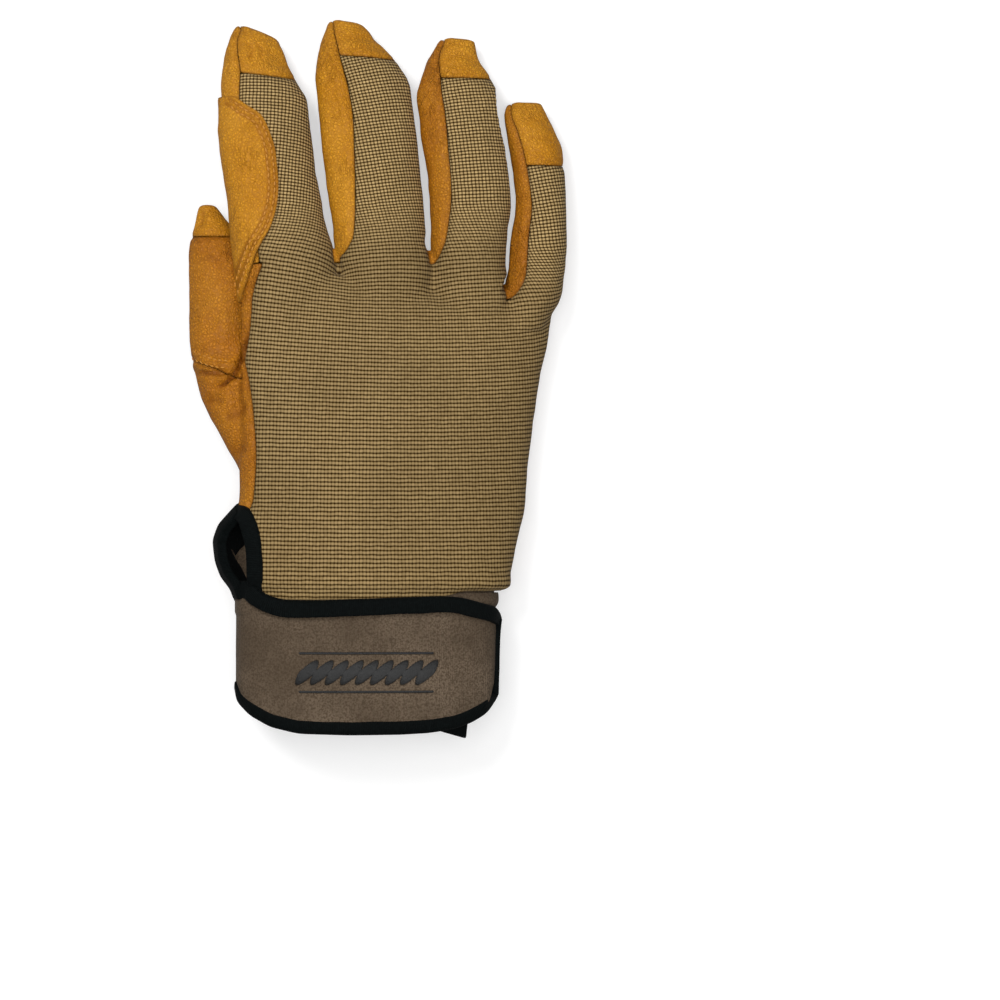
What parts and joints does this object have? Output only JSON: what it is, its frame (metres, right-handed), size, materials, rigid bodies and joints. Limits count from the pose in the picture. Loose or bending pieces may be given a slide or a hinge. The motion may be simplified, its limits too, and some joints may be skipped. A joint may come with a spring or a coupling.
{
  "type": "climbing glove",
  "caption": "Right-hand climbing glove lying palm down: leather palm and finger sides, ribbed stretch back, foam-cloth cuff with black-edged strap and a clip tab",
  "frame": {"origin": "middle of the underside of the part's bounding box, on the surface that the glove lies on", "axes": "+X towards the little finger, +Y towards the fingertips, +Z out of the back of the hand"},
  "size_m": [0.1308, 0.2468, 0.0367],
  "materials": {
    "stretch_cloth": "ribbed stretch weave, matte",
    "palm_leather": "grained, half matte",
    "tan_leather": "grained, half matte",
    "foam_cloth": "fine knit over foam, matte",
    "edge_tape": "woven tape, matte"
  },
  "bodies": {
    "root": {"back_panel": "stretch_cloth", "thumb_back_panel": "stretch_cloth", "palm_panel": "palm_leather", "palm_patch": "palm_leather", "thumb_panel": "palm_leather", "thumb_side_panel": "tan_leather", "thumb_tip_cap": "tan_leather", "web_panel": "tan_leather", "index_side_panel": "tan_leather", "index_side_patch": "tan_leather", "index_middle_gusset": "tan_leather", "middle_ring_gusset": "tan_leather", "ring_little_gusset": "tan_leather", "index_tip_cap": "tan_leather", "middle_tip_cap": "tan_leather", "ring_tip_cap": "tan_leather", "little_tip_cap": "tan_leather", "clip_tab": "tan_leather", "cuff_band": "foam_cloth", "wrist_strap": "foam_cloth", "cuff_binding": "edge_tape", "strap_binding": "edge_tape", "slit_binding": "edge_tape", "hem_corner": "edge_tape"}
  },
  "joints": []
}
